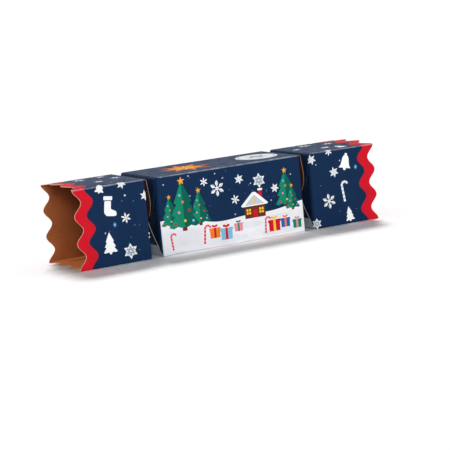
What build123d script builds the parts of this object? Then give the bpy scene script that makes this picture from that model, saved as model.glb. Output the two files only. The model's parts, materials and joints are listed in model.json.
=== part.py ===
from build123d import *
import os
from math import atan2, degrees, radians, sqrt, tan

# A treat cracker folded from one printed card blank: a square centre box, two open tails with wavy
# ends, and between them two pinched necks. X runs along the cracker, +Z is up, the front faces -Y,
# and the origin is under the middle of the centre box.

# Driving dimensions in millimetres and degrees
SECTION = 70.0  # outside width and height of the square tube
CARD = 0.5  # thickness of the card
INNER_CREASE_RADIUS = 0.4  # inside radius of the four long creases
CENTRE_LENGTH = 143.0
NECK_GAP = 12.0  # between the end of the centre box and the start of a tail
TAIL_LENGTH = 68.0  # from the neck to the crests of the wavy end
WAVES_PER_SIDE = 3
WAVE_DEPTH = 6.9  # from crest to trough
WAIST_CLEARANCE = 2.0  # between the upper and the lower neck folds at mid height
UPPER_WAIST_WIDTH = 50.0  # of an upper neck flap along its valley crease
UPPER_CUT_BOW = 1.5  # how far an upper neck flap's side cuts bow inwards
LOWER_WAIST_WIDTH = 38.0  # of a lower neck flap along its valley crease
LOWER_CUT_BOW = 2.6  # how far a lower neck flap's side cuts bow inwards
NECK_BASE_INSET = 0.8  # from the outside of the tube to the end of a neck flap's base crease
DUST_LEAN = 5.0  # how far past square a dust flap is folded, in degrees
DUST_TIP_GAP = 9.0  # between the tips of two facing dust flaps
DUST_TAPER = 5.0  # how much lower each side of a dust flap is at its tip
DUST_TIP_RADIUS = 4.0
DUST_CLEARANCE = 0.25  # between a dust flap's ends and the neck flaps outside it
GLUE_FLAP_WIDTH = 12.0
GLUE_FLAP_INSET = 2.0  # from a glue flap's ends to the ends of its panel
GLUE_FLAP_BEVEL = 5.0  # how far a glue flap's slanted ends run back

# Sizes that follow from them
HALF = SECTION / 2
INSIDE = HALF - CARD  # from the tube's axis to the inner face of a panel
OUTER_CREASE_RADIUS = INNER_CREASE_RADIUS + CARD
CENTRE_END = CENTRE_LENGTH / 2
TAIL_START = CENTRE_END + NECK_GAP
TAIL_END = TAIL_START + TAIL_LENGTH
NECK_MIDDLE = CENTRE_END + NECK_GAP / 2
FOLD_DEPTH = INSIDE - WAIST_CLEARANCE / 2  # from a panel's inner face down to the valley crease
NECK_FLAP_LENGTH = sqrt((NECK_GAP / 2) ** 2 + FOLD_DEPTH**2 - CARD**2)
FOLD_ANGLE = degrees(atan2(FOLD_DEPTH, NECK_GAP / 2) + atan2(CARD, NECK_FLAP_LENGTH))
DUST_LENGTH = INSIDE - DUST_TIP_GAP / 2
DUST_HALF_HEIGHT = INSIDE - (CARD + DUST_CLEARANCE) * tan(radians(FOLD_ANGLE))

SIDES = {"top": 0, "front": 90, "bottom": 180, "back": 270}  # turn of each panel about +X


def square_tube(start, length):
    """Card tube along X with rounded long creases, centred on the axis."""
    outside = RectangleRounded(SECTION, SECTION, OUTER_CREASE_RADIUS)
    inside = RectangleRounded(2 * INSIDE, 2 * INSIDE, INNER_CREASE_RADIUS)
    return Pos(start, 0, 0) * extrude(Plane.YZ * (outside - inside), length)


def side_wedge(start, length):
    """Quarter of the tube's section above the axis, bounded by the planes of the corner creases."""
    wedge = Polyline((0, 0), (SECTION, SECTION), (-SECTION, SECTION), (0, 0))
    return Pos(start, 0, 0) * extrude(Plane.YZ * make_face(wedge), length)


def wavy_outline():
    """Flat outline of a tail panel in XY: crests on both creases and two between them."""
    quarter = SECTION / WAVES_PER_SIDE / 4
    edges = Polyline((TAIL_END, -HALF), (TAIL_START, -HALF), (TAIL_START, HALF), (TAIL_END, HALF))
    for wave in range(WAVES_PER_SIDE):
        start = -HALF + 4 * quarter * wave
        crest = (TAIL_END, start)
        falling = (TAIL_END - WAVE_DEPTH / 2, start + quarter)
        trough = (TAIL_END - WAVE_DEPTH, start + 2 * quarter)
        rising = (TAIL_END - WAVE_DEPTH / 2, start + 3 * quarter)
        next_crest = (TAIL_END, start + 4 * quarter)
        edges += TangentArc(crest, falling, tangent=(0, 1))
        edges += ThreePointArc(falling, trough, rising)
        edges += TangentArc(rising, next_crest, tangent=(0, -1), tangent_from_first=False)
    return make_face(edges)


def centre_panels():
    """The four long panels of the centre box, each with half of the crease on either side."""
    tube = square_tube(-CENTRE_END, CENTRE_LENGTH)
    wedge = side_wedge(-CENTRE_END, CENTRE_LENGTH)
    return {side: tube & (Rot(turn, 0, 0) * wedge) for side, turn in SIDES.items()}


def tail_panels():
    """The four panels of the right tail, cut to the wave at the open end."""
    tube = square_tube(TAIL_START, TAIL_LENGTH)
    wedge = side_wedge(TAIL_START, TAIL_LENGTH) & extrude(wavy_outline(), SECTION)
    return {side: tube & (Rot(turn, 0, 0) * wedge) for side, turn in SIDES.items()}


def glue_flap(start, end):
    """Strip turned in along the lower back crease and glued on the inside of the bottom panel."""
    back = HALF - OUTER_CREASE_RADIUS
    fore = back - GLUE_FLAP_WIDTH
    corners = [
        (start, back),
        (end, back),
        (end - GLUE_FLAP_BEVEL, fore),
        (start + GLUE_FLAP_BEVEL, fore),
        (start, back),
    ]
    return Pos(0, 0, -INSIDE) * extrude(make_face(Polyline(*corners)), CARD)


def neck_flap(waist_width, bow):
    """Neck flap on top of the centre box's right end, folded in about the panel's inner edge."""
    base = HALF - NECK_BASE_INSET
    waist = waist_width / 2
    far_cut = SagittaArc((NECK_FLAP_LENGTH, waist), (0, base), bow)
    near_cut = SagittaArc((0, -base), (NECK_FLAP_LENGTH, -waist), bow)
    base_crease = Line((0, base), (0, -base))
    waist_crease = Line((NECK_FLAP_LENGTH, -waist), (NECK_FLAP_LENGTH, waist))
    flat = make_face(far_cut + base_crease + near_cut + waist_crease)
    return Pos(CENTRE_END, 0, INSIDE) * Rot(0, FOLD_ANGLE, 0) * extrude(flat, CARD)


def dust_flap():
    """Front dust flap of the centre box's right end, folded in past square."""
    tip_height = DUST_HALF_HEIGHT - DUST_TAPER
    outline = Polyline(
        (0, -DUST_HALF_HEIGHT),
        (DUST_LENGTH, -tip_height),
        (DUST_LENGTH, tip_height),
        (0, DUST_HALF_HEIGHT),
        (0, -DUST_HALF_HEIGHT),
    )
    sharp = make_face(outline)
    flat = fillet(sharp.vertices().sort_by(Axis.X)[-2:], DUST_TIP_RADIUS)
    folded = Rot(0, 0, 90 + DUST_LEAN) * extrude(Plane.XZ * flat, CARD)
    return Pos(CENTRE_END, -INSIDE, 0) * folded


def right_neck():
    """The flaps that pinch the right neck, and the dust flaps that close both sides of it."""
    between = Plane(origin=(NECK_MIDDLE, 0, 0), z_dir=(1, 0, 0))
    upper = neck_flap(UPPER_WAIST_WIDTH, UPPER_CUT_BOW)
    lower = mirror(neck_flap(LOWER_WAIST_WIDTH, LOWER_CUT_BOW), about=Plane.XY)
    front = dust_flap()
    back = mirror(front, about=Plane.XZ)
    return {
        "neck_top_inner_flap": upper,
        "neck_top_outer_flap": mirror(upper, about=between),
        "neck_bottom_inner_flap": lower,
        "neck_bottom_outer_flap": mirror(lower, about=between),
        "centre_front_dust_flap": front,
        "centre_back_dust_flap": back,
        "tail_front_dust_flap": mirror(front, about=between),
        "tail_back_dust_flap": mirror(back, about=between),
    }


def right_end():
    """Every piece of the right tail and the right neck."""
    pieces = {f"tail_{side}_panel": panel for side, panel in tail_panels().items()}
    tail_glue_end = TAIL_END - WAVE_DEPTH - GLUE_FLAP_INSET
    pieces["tail_glue_flap"] = glue_flap(TAIL_START + GLUE_FLAP_INSET, tail_glue_end)
    pieces.update(right_neck())
    return pieces


def cracker():
    """All the pieces by node name, in the part's frame."""
    pieces = {f"centre_{side}_panel": panel for side, panel in centre_panels().items()}
    glue_end = CENTRE_END - GLUE_FLAP_INSET
    pieces["centre_glue_flap"] = glue_flap(-glue_end, glue_end)
    for name, piece in right_end().items():
        pieces[f"right_{name}"] = piece
        pieces[f"left_{name}"] = mirror(piece, about=Plane.YZ)
    return {name: Pos(0, 0, HALF) * piece for name, piece in pieces.items()}


os.makedirs("parts", exist_ok=True)
for node, solid in cracker().items():
    export_step(solid, f"parts/{node}.step")
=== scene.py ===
"""Printed card cracker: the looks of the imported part, laid out as an add-on and run as a script."""

import json
import math
import random

import bmesh
import bpy
from bpy.props import FloatProperty, FloatVectorProperty, IntProperty, PointerProperty
from mathutils import Matrix, Vector


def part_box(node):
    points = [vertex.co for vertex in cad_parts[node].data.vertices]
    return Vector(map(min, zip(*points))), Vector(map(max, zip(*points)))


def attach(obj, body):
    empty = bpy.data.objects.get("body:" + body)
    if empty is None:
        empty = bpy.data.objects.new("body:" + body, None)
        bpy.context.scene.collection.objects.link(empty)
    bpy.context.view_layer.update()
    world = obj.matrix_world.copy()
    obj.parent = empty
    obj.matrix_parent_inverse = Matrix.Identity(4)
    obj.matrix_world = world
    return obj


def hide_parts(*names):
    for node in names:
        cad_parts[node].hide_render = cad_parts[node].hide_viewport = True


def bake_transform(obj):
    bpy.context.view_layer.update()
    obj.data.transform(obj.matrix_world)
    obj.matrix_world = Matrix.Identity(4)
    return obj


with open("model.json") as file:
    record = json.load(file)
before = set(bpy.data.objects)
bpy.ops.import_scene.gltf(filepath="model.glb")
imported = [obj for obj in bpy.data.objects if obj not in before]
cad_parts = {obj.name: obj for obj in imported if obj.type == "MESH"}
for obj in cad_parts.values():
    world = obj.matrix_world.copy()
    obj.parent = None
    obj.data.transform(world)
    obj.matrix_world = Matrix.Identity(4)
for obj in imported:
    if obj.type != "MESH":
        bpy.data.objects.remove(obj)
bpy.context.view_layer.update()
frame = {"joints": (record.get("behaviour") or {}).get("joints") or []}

bl_info = {
    "name": "Printed card cracker",
    "version": (1, 0, 0),
    "blender": (4, 5, 0),
    "location": "View3D > Sidebar > Cracker",
    "description": "Card panels, folded necks and festive print of a square cracker",
    "category": "Object",
}

JOINT_PLACE = {joint["name"]: Vector(joint["pos_m"]) for joint in frame["joints"]}

# Places of the carton, read from the frame, in metres
AXIS_HEIGHT = (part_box("centre_bottom_panel")[0].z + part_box("centre_top_panel")[1].z) / 2
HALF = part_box("centre_top_panel")[1].z - AXIS_HEIGHT
CENTRE_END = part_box("centre_top_panel")[1].x
TAIL_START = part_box("right_tail_top_panel")[0].x
TAIL_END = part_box("right_tail_top_panel")[1].x
VALLEY = JOINT_PLACE["right_top_valley_crease"]
VALLEY_OUT = VALLEY.z - AXIS_HEIGHT  # from the tube's axis out to a valley crease
NECK_REACH = VALLEY.x - CENTRE_END  # from a panel's end to the valley crease

MM = 0.001
FULL_TURN = 2 * math.pi
SIDE_TURN = {"top": 0, "front": FULL_TURN / 4, "bottom": FULL_TURN / 2, "back": FULL_TURN * 3 / 4}
UPRIGHT = {"top": 1, "front": 1, "bottom": 1, "back": -1}  # whether a side's layout stands or hangs
ENDS = {"left": -1, "right": 1}
ARMS = 6  # of a snowflake
SCENIC_SIDES = ("front", "back")
LEVEL_SIDES = ("top", "bottom")


def linear(code):
    """Linear colour of a web colour code."""
    shares = [int(code[i:i + 2], 16) / 255 for i in (1, 3, 5)]
    return tuple(s / 12.92 if s <= 0.04045 else ((s + 0.055) / 1.055) ** 2.4 for s in shares)


def length(name, description, default):
    """A length that the user may change."""
    return FloatProperty(name=name, description=description, default=default, unit="LENGTH", precision=5)


def colour(name, description, code):
    """A colour that the user may change."""
    return FloatVectorProperty(
        name=name, description=description, default=linear(code), subtype="COLOR", min=0, max=1
    )


def angle(name, description, degrees):
    """An angle that the user may change."""
    return FloatProperty(name=name, description=description, default=math.radians(degrees), subtype="ANGLE")


def amount(name, description, default, unit="NONE"):
    """A strength or another plain amount that the user may change."""
    return FloatProperty(name=name, description=description, default=default, unit=unit, min=0)


class CrackerCard(bpy.types.PropertyGroup):
    """Sizes of the card and of its soft folds"""

    thickness: length("Card", "Thickness of the card", 0.5 * MM)
    crease_radius: length("Crease radius", "Outside radius of the long creases", 1.0 * MM)
    waves: IntProperty(name="Waves", description="Waves of an open end on each side", default=3, min=1)
    wave_depth: length("Wave depth", "From crest to trough of an open end", 6.9 * MM)
    mouth_bow: length("Mouth bow", "How far a tail's top stands up at its open end", 2.2 * MM)
    band_width: length("Band width", "Red band along an open end", 11.3 * MM)
    neck_curl_out: length("Neck curl out", "How far an upper neck flap's curl reaches out", 2.4 * MM)
    neck_curl_in: length("Neck curl in", "How far down an upper neck flap's curl goes", 2.6 * MM)
    lower_curl_out: length("Lower curl out", "How far a lower neck flap's curl reaches out", 0.8 * MM)
    lower_curl_in: length("Lower curl in", "How far up a lower neck flap's curl goes", 1.6 * MM)
    neck_blend: length("Neck blend", "Depth by which a neck flap's bend has ended", 14.0 * MM)
    waist_clearance: length("Waist clearance", "Between upper and lower neck folds", 2.0 * MM)
    soft_bend: length("Soft bend", "Bend radius of a softly folded dust flap", 4.0 * MM)
    soft_setback: length("Soft setback", "From a panel's end back to where a soft fold starts", 2.5 * MM)
    tight_bend: length("Tight bend", "Bend radius of a tightly folded dust flap", 1.5 * MM)
    tight_setback: length("Tight setback", "From a panel's end back to where a tight fold starts", 1.0 * MM)
    dust_tip_gap: length("Dust tip gap", "From the tube's axis to a dust flap's tip", 4.6 * MM)
    dust_tip_radius: length("Dust tip radius", "Corner radius at a dust flap's tip", 4.0 * MM)
    print_rise: length("Print rise", "Height of one layer of ink above the card", 0.03 * MM)


class CrackerColours(bpy.types.PropertyGroup):
    """Colours of the card and of its inks, with darker copies and a pale crease tint that paint shade and
    highlight
    """

    navy: colour("Night blue", "Ground of the print", "#122b4c")
    red: colour("Band red", "Wavy bands and red motifs", "#cf1829")
    snow: colour("Snow", "Snowy ground", "#f1f1f5")
    white: colour("White", "Flakes and pale motifs", "#f8fafb")
    shade: colour("Flake shade", "Folded side of a flake", "#c3ccd6")
    fir: colour("Fir", "Lit side of a fir", "#14876a")
    fir_dark: colour("Fir shade", "Shaded side of a fir", "#0c5f52")
    bark: colour("Bark", "Trunks and brown motifs", "#6b2f22")
    orange: colour("Orange", "Orange motifs", "#f0812a")
    amber: colour("Amber", "Shaded side of the star on top", "#d9722c")
    gold: colour("Gold", "Stars and yellow motifs", "#f4c63c")
    sky_blue: colour("Sky blue", "Pale blue motifs", "#7fc0dd")
    blue: colour("Blue", "Blue motifs", "#2f5fae")
    pink: colour("Pink", "Pink motifs", "#ee8fa0")
    flake_grey: colour("Flake grey", "Shaded side of a grey flake", "#94a0ac")
    drift: colour("Drift", "Shadow of a snow drift", "#e6e8ef")
    haze: colour("Haze", "Soft rim of a distant light", "#1f4163")
    haze_mid: colour("Haze middle", "Middle of a distant light", "#3b6e96")
    haze_core: colour("Haze core", "Core of a distant light", "#8fbcd8")
    kraft: colour("Kraft", "Uncoated inside of the card", "#9f5b34")
    # Painted shade: a darker kraft for the inside of the neck flaps, standing in for the shade inside the
    # necks
    neck_kraft_painted_shade: colour("Neck kraft with painted shade", "Inside of the neck flaps", "#5c331d")
    cut_edge: colour("Cut edge", "Cut edge of the card", "#f2c2aa")
    # Painted shade: a darker copy of the cut edge colour, for the rims of some upper neck flaps and of the
    # tails' bottom panels
    cut_edge_painted_shade: colour("Cut edge with painted shade", "Cut edge of the upper neck flaps", "#8f6d58")
    # Painted shade: a darker, greyer copy of the cut edge colour, for the rims of the lower neck flaps
    grey_cut_edge_painted_shade: colour("Grey cut edge with painted shade", "Cut edge of the lower neck flaps", "#8d898a")
    # Wear and painted highlight: a pale tint on the upper creases, for rubbed ink and for light caught by the
    # rounded crease
    wear_and_highlight: colour("Crease wear", "Rubbed ink along the creases", "#bcc5d2")
    mote: colour("Mote", "Faint snow dots", "#5f7890")


class CrackerStage(bpy.types.PropertyGroup):
    """Camera and light"""

    azimuth: angle("Azimuth", "Camera round the part", -27.44)
    elevation: angle("Elevation", "Camera above level", 8.60)
    roll: angle("Roll", "Camera turned about its view", -5.46)
    distance: length("Distance", "Camera to the middle of the part", 1.536)
    aim_right: length("Aim right", "Camera moved to its right", 9.66 * MM)
    aim_up: length("Aim up", "Camera moved up", -20.81 * MM)
    lens: amount("Lens", "Focal length of the camera", 135.9, "CAMERA")
    key_strength: amount("Key", "Strength of the light from behind", 1.45)
    fill_power: amount("Fill", "Soft light from the front", 75.0, "POWER")
    mouth_power: amount("Mouth light", "Small light into each open end", 9.0, "POWER")
    sky: amount("Sky", "Even light from all round", 0.18)
    floor_white: amount("Floor white", "Brightness of the floor as the camera sees it", 1.85)


def card():
    """Sizes of the card."""
    return bpy.context.scene.cracker_card


def pigment(name):
    """One of the colours of the card and the inks, with its alpha."""
    return (*getattr(bpy.context.scene.cracker_colours, name), 1)


# Node groups and materials


def add_node(tree, kind, settings=None, values=None, links=None):
    """Node with its settings, socket values and incoming links."""
    node = tree.nodes.new(kind)
    for key, value in (settings or {}).items():
        setattr(node, key, value)
    for key, value in (values or {}).items():
        node.inputs[key].default_value = value
    for key, source in (links or {}).items():
        tree.links.new(source, node.inputs[key])
    return node


def noise(tree, place, scale, detail):
    """Noise value with features about one part in scale of a metre."""
    values = {"Scale": scale, "Detail": detail}
    return add_node(tree, "ShaderNodeTexNoise", values=values, links={"Vector": place}).outputs["Fac"]


def spread(tree, value, low, high, start=0.3, end=0.7):
    """A noise value spread between two limits."""
    limits = {"From Min": start, "From Max": end, "To Min": low, "To Max": high}
    node = add_node(tree, "ShaderNodeMapRange", values=limits, links={"Value": value})
    return node.outputs["Result"]


def math_node(tree, operation, *terms, clamp=False):
    """Result of a math operation on sockets and plain numbers."""
    node = add_node(tree, "ShaderNodeMath", {"operation": operation, "use_clamp": clamp})
    for slot, term in enumerate(terms):
        if isinstance(term, bpy.types.NodeSocket):
            tree.links.new(term, node.inputs[slot])
        else:
            node.inputs[slot].default_value = term
    return node.outputs["Value"]


def varied(tree, shade, variation, share):
    """A colour made lighter and darker by a share of a variation."""
    value = math_node(tree, "MULTIPLY_ADD", variation, share, 1.0)
    node = add_node(tree, "ShaderNodeHueSaturation", links={"Color": shade, "Value": value})
    return node.outputs["Color"]


# Scales of the noise in the finishes, in features to a metre
INK_SCALES = {"density": 55, "speckle": 1600, "gloss": 140, "fibre": 2200, "sheet": 26}
KRAFT_SCALES = {"fibres": 1500, "clouds": 70, "flecks": 420}
WEAR_AND_HIGHLIGHT_SCALE = 160
SHADE_SCALE = 45
FIBRE_STRETCH = (0.12, 1, 1)  # of the board's fibres, which run along x
FIBRE_SHARE = 0.05  # of the fine fibre in the relief of the ink
SHADE_START = 15 * MM  # from the middle of the centre box to where the grey in the snow starts


def varnished_ink(tree, given, place):
    """Ink on varnished card: uneven density, patchy gloss, fine fibre and slow waves of the sheet."""
    density = spread(tree, noise(tree, place, INK_SCALES["density"], 3), -1, 1)
    speckle = spread(tree, noise(tree, place, INK_SCALES["speckle"], 2), -0.5, 0.5)
    inked = varied(tree, given["Colour"], math_node(tree, "ADD", density, speckle), given["Mottle"])
    patch = spread(tree, noise(tree, place, INK_SCALES["gloss"], 3), -0.07, 0.07)
    fibre = math_node(tree, "MULTIPLY", noise(tree, place, INK_SCALES["fibre"], 3), FIBRE_SHARE)
    height = math_node(tree, "ADD", noise(tree, place, INK_SCALES["sheet"], 1), fibre)
    return inked, math_node(tree, "ADD", given["Gloss"], patch), height


def kraft_fibres(tree, given, place):
    """Uncoated brown board: long fibres, flecks and a soft tooth."""
    mapping = add_node(tree, "ShaderNodeMapping", values={"Scale": FIBRE_STRETCH}, links={"Vector": place})
    stretched = mapping.outputs["Vector"]
    fibres = spread(tree, noise(tree, stretched, KRAFT_SCALES["fibres"], 4), -1, 1)
    clouds = spread(tree, noise(tree, place, KRAFT_SCALES["clouds"], 3), -0.7, 0.7)
    cells = {"Scale": KRAFT_SCALES["flecks"], "Randomness": 1.0}
    flecks = add_node(tree, "ShaderNodeTexVoronoi", values=cells, links={"Vector": stretched})
    dark_flecks = spread(tree, flecks.outputs["Distance"], -1.6, 0, 0.06, 0.16)
    uneven = math_node(tree, "ADD", math_node(tree, "ADD", fibres, clouds), dark_flecks)
    board = varied(tree, given["Colour"], uneven, given["Contrast"])
    return board, spread(tree, fibres, 0.78, 0.95, -1, 1), uneven


# Painted highlight as well as wear: only the upper creases, which face the light, are tinted.
def crease_wear_and_highlight(tree, given, place):
    """Mask of rubbed ink and of a painted highlight along the two upper long creases, broken up by noise."""
    parts = add_node(tree, "ShaderNodeSeparateXYZ", links={"Vector": place}).outputs
    side = math_node(tree, "ABSOLUTE", parts["Y"])
    rise = math_node(tree, "SUBTRACT", parts["Z"], AXIS_HEIGHT)
    start = math_node(tree, "SUBTRACT", given["Half"], given["Width"])
    past = math_node(tree, "SUBTRACT", math_node(tree, "MINIMUM", side, rise), start)
    near = math_node(tree, "DIVIDE", past, given["Width"])
    broken = spread(tree, noise(tree, place, WEAR_AND_HIGHLIGHT_SCALE, 4), 0.25, 1.0)
    return (math_node(tree, "MULTIPLY", near, broken, clamp=True),)


def snow_shade(tree, given, place):
    """Mask of the grey at the lower left of the printed snow, as the front or the back is seen."""
    parts = add_node(tree, "ShaderNodeSeparateXYZ", links={"Vector": place}).outputs
    seen_left = math_node(tree, "MULTIPLY", parts["X"], math_node(tree, "SIGN", parts["Y"]))
    leftness = spread(tree, seen_left, 0, 1, SHADE_START, CENTRE_END)
    drop = math_node(tree, "SUBTRACT", given["Top"], parts["Z"])
    lowness = math_node(tree, "DIVIDE", drop, given["Top"])
    waves = spread(tree, noise(tree, place, SHADE_SCALE, 1), 0.6, 1.3)
    corner = math_node(tree, "MULTIPLY", leftness, math_node(tree, "MULTIPLY", waves, lowness))
    return (math_node(tree, "MULTIPLY", corner, given["Depth"], clamp=True),)


PLAIN_WHITE = (1, 1, 1, 1)
SURFACE = ("Colour", "Roughness", "Height")
GROUPS = {
    # what fills it, its inputs with their values, its outputs
    "varnished_ink": (varnished_ink, {"Colour": PLAIN_WHITE, "Mottle": 0.06, "Gloss": 0.5}, SURFACE),
    "kraft_fibres": (kraft_fibres, {"Colour": PLAIN_WHITE, "Contrast": 0.12}, SURFACE),
    "crease_wear_and_highlight": (crease_wear_and_highlight, {"Half": HALF, "Width": 1.3 * MM}, ("Mask",)),
    "snow_shade": (snow_shade, {"Top": 26 * MM, "Depth": 0.55}, ("Mask",)),
}


def shader_group(name):
    """Shader node group with named sockets, built the first time it is asked for."""
    if name in bpy.data.node_groups:
        return bpy.data.node_groups[name]
    fill, inputs, outputs = GROUPS[name]
    tree = bpy.data.node_groups.new(name, "ShaderNodeTree")
    kinds = {"Colour": "NodeSocketColor"}
    for label, default in inputs.items():
        kind = kinds.get(label, "NodeSocketFloat")
        tree.interface.new_socket(label, in_out="INPUT", socket_type=kind).default_value = default
    for label in outputs:
        kind = kinds.get(label, "NodeSocketFloat")
        tree.interface.new_socket(label, in_out="OUTPUT", socket_type=kind)
    given = tree.nodes.new("NodeGroupInput").outputs
    result = tree.nodes.new("NodeGroupOutput").inputs
    place = tree.nodes.new("ShaderNodeTexCoord").outputs["Object"]
    for label, socket in zip(outputs, fill(tree, given, place)):
        tree.links.new(socket, result[label])
    return tree


def place_group(tree, name, values=None):
    """Outputs of a group placed in a material with its own values."""
    return add_node(tree, "ShaderNodeGroup", {"node_tree": shader_group(name)}, values).outputs


def mixed(tree, mask, under, over):
    """Colour that goes from a socket's to a plain one by a mask."""
    mix = add_node(tree, "ShaderNodeMix", {"data_type": "RGBA"})
    tree.links.new(mask, mix.inputs["Factor"])
    tree.links.new(under, mix.inputs[6])
    mix.inputs[7].default_value = over
    return mix.outputs[2]


def new_material(name):
    """Material with only a Principled shader and its output."""
    material = bpy.data.materials.new(name)
    material.use_nodes = True
    return material, material.node_tree.nodes["Principled BSDF"]


def card_material(name, group, values, specular, relief, masks=()):
    """Printed or bare card, with masks that bring in other colours, made the first time it is asked for."""
    if name in bpy.data.materials:
        return bpy.data.materials[name]
    material, shader = new_material(name)
    tree = material.node_tree
    surface = place_group(tree, group, values)
    heights = {"Distance": relief, "Strength": 1.0}
    bump = add_node(tree, "ShaderNodeBump", values=heights, links={"Height": surface["Height"]})
    shade = surface["Colour"]
    for mask, over in masks:
        shade = mixed(tree, place_group(tree, mask)["Mask"], shade, pigment(over))
    shader.inputs["Specular IOR Level"].default_value = specular
    tree.links.new(shade, shader.inputs["Base Color"])
    tree.links.new(surface["Roughness"], shader.inputs["Roughness"])
    tree.links.new(bump.outputs["Normal"], shader.inputs["Normal"])
    return material


INK_GLOSS = 0.52
INK_SPECULAR = 0.06
INK_RELIEF = 0.10 * MM
BOARD_SPECULAR = 0.1
BOARD_RELIEF = 0.012 * MM
BOARDS = {
    # colour, contrast of the fibres
    "kraft_inside": ("kraft", 0.10),
    # painted shade: the darker kraft of the neck flaps' insides
    "neck_kraft_inside_painted_shade": ("neck_kraft_painted_shade", 0.10),
    "cut_card_edge": ("cut_edge", 0.08),
    # painted shade: darker copy of the cut edge
    "card_edge_painted_shade": ("cut_edge_painted_shade", 0.08),
    # painted shade: darker, greyer copy of the cut edge
    "grey_card_edge_painted_shade": ("grey_cut_edge_painted_shade", 0.05),
}


def ink_material(ink, worn_and_highlit=False):
    """Ink of one colour, with rubbed wear and a painted highlight along the upper creases where it covers
    them.
    """
    masks = [("snow_shade", "flake_grey")] if ink == "snow" else []
    if worn_and_highlit:
        masks.append(("crease_wear_and_highlight", "wear_and_highlight"))
    name = f"{ink}_print" if worn_and_highlit else f"{ink}_ink"
    values = {"Colour": pigment(ink), "Gloss": INK_GLOSS}
    return card_material(name, "varnished_ink", values, INK_SPECULAR, INK_RELIEF, masks)


def board_material(name):
    """Uncoated board: the brown inside or a cut edge, some in darker copies that paint shade."""
    shade, contrast = BOARDS[name]
    values = {"Colour": pigment(shade), "Contrast": contrast}
    return card_material(name, "kraft_fibres", values, BOARD_SPECULAR, BOARD_RELIEF)


# Sheets of card


def between(start, end, share):
    """Value that share of the way from start to end."""
    return start + (end - start) * share


def side_place(side):
    """Puts a flat layout on one side of the tube: x along it, y across the side, z out from the axis."""
    return Matrix.Translation((0, 0, AXIS_HEIGHT)) @ Matrix.Rotation(SIDE_TURN[side], 4, "X")


def shaped_grid(columns, rows, place, ink_at):
    """Grid whose vertices go to place and whose faces get ink_at, by shares along and across."""
    bm = bmesh.new()
    bmesh.ops.create_grid(bm, x_segments=columns, y_segments=rows, size=0.5)
    for face in bm.faces:
        middle = face.calc_center_median()
        face.material_index = ink_at(middle.x + 0.5, middle.y + 0.5)
    for vert in bm.verts:
        vert.co = place(vert.co.x + 0.5, vert.co.y + 0.5)
    bm.normal_update()
    bm.faces.ensure_lookup_table()
    if bm.faces[0].normal.z < 0:
        bmesh.ops.reverse_faces(bm, faces=bm.faces[:])
    return bm


SMOOTH_ANGLE = math.radians(32)


def make_object(name, bm, materials, side):
    """Object of a finished bmesh drawn in a side's layout, with its place in its mesh."""
    bmesh.ops.transform(bm, matrix=side_place(side), verts=bm.verts[:])
    mesh = bpy.data.meshes.new(name)
    bm.to_mesh(mesh)
    bm.free()
    for material in materials:
        mesh.materials.append(material)
    mesh.shade_smooth()
    mesh.set_sharp_from_angle(angle=SMOOTH_ANGLE)
    piece = bpy.data.objects.new(name, mesh)
    bpy.context.scene.collection.objects.link(piece)
    return piece


def card_piece(node, bm, side, inks, edge="cut_card_edge", board="kraft_inside", inked_to=0.0):
    """Gives a sheet the card's thickness, with an inked rim up to a place along x, for its CAD node."""
    kraft_slot = len(inks)
    printed = set(bm.faces)
    grown = bmesh.ops.solidify(bm, geom=bm.faces[:], thickness=card().thickness)
    inside = {part for part in grown["geom"] if isinstance(part, bmesh.types.BMFace)}
    for face in bm.faces:
        if face in inside:
            face.material_index = kraft_slot
        elif face not in printed:
            inked = abs(face.calc_center_median().x) < inked_to
            face.material_index = 0 if inked else kraft_slot + 1
    rim = board_material(edge) if edge in BOARDS else ink_material(edge)
    piece = make_object(f"{node}_card", bm, [*inks, board_material(board), rim], side)
    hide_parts(node)
    return piece


CREASE_ROWS = 8  # round half a long crease
PANEL_ROWS = 60  # over the flat of a panel
ALL_ROWS = PANEL_ROWS + 2 * CREASE_ROWS
PANEL_COLUMNS = 40


def round_crease(across):
    """Place across a side, and out from the axis, of a point that far round the sheet from its middle."""
    flat = HALF - card().crease_radius
    turn = max(0.0, abs(across) - flat) / card().crease_radius
    if turn == 0:
        return across, HALF
    sideways = flat + card().crease_radius * math.sin(turn)
    return math.copysign(sideways, across), flat + card().crease_radius * math.cos(turn)


def panel_row(share, split=0.0):
    """Distance round the sheet at a share of the rows, with half the flat rows on either side of a split."""
    flat = HALF - card().crease_radius
    reach = flat + card().crease_radius * FULL_TURN / 8
    edge_share = CREASE_ROWS / ALL_ROWS
    if share < edge_share:
        return between(-reach, -flat, share / edge_share)
    if share > 1 - edge_share:
        return between(flat, reach, (share - 1 + edge_share) / edge_share)
    if share < 0.5:
        return between(-flat, split, (share - edge_share) / (0.5 - edge_share))
    return between(split, flat, (share - 0.5) / (0.5 - edge_share))


def wave_drop(across):
    """How far an open end is cut back from its crests, at a place across a side."""
    waves_along = card().waves * (across + HALF) / (2 * HALF)
    return card().wave_depth * (1 - math.cos(FULL_TURN * waves_along)) / 2


def mouth_bow(x, across):
    """How far a tail's top stands up from flat: most in the middle of its open end."""
    flat = HALF - card().crease_radius
    along = max(0.0, abs(x) - TAIL_START) / (TAIL_END - TAIL_START)
    return card().mouth_bow * along**2 * (1 - min(1.0, abs(across) / flat) ** 2)


def dust_fold(side, way):
    """Bend radius and setback of a dust flap: tight at a panel's right end as seen, soft at its left."""
    if way * UPRIGHT[side] > 0:
        return card().tight_bend, card().tight_setback
    return card().soft_bend, card().soft_setback


def panel_setback(side, way):
    """From a panel's nominal end back to where its sheet ends and its flap's begins."""
    return dust_fold(side, way)[1] if side in SCENIC_SIDES else 0.0


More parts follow.
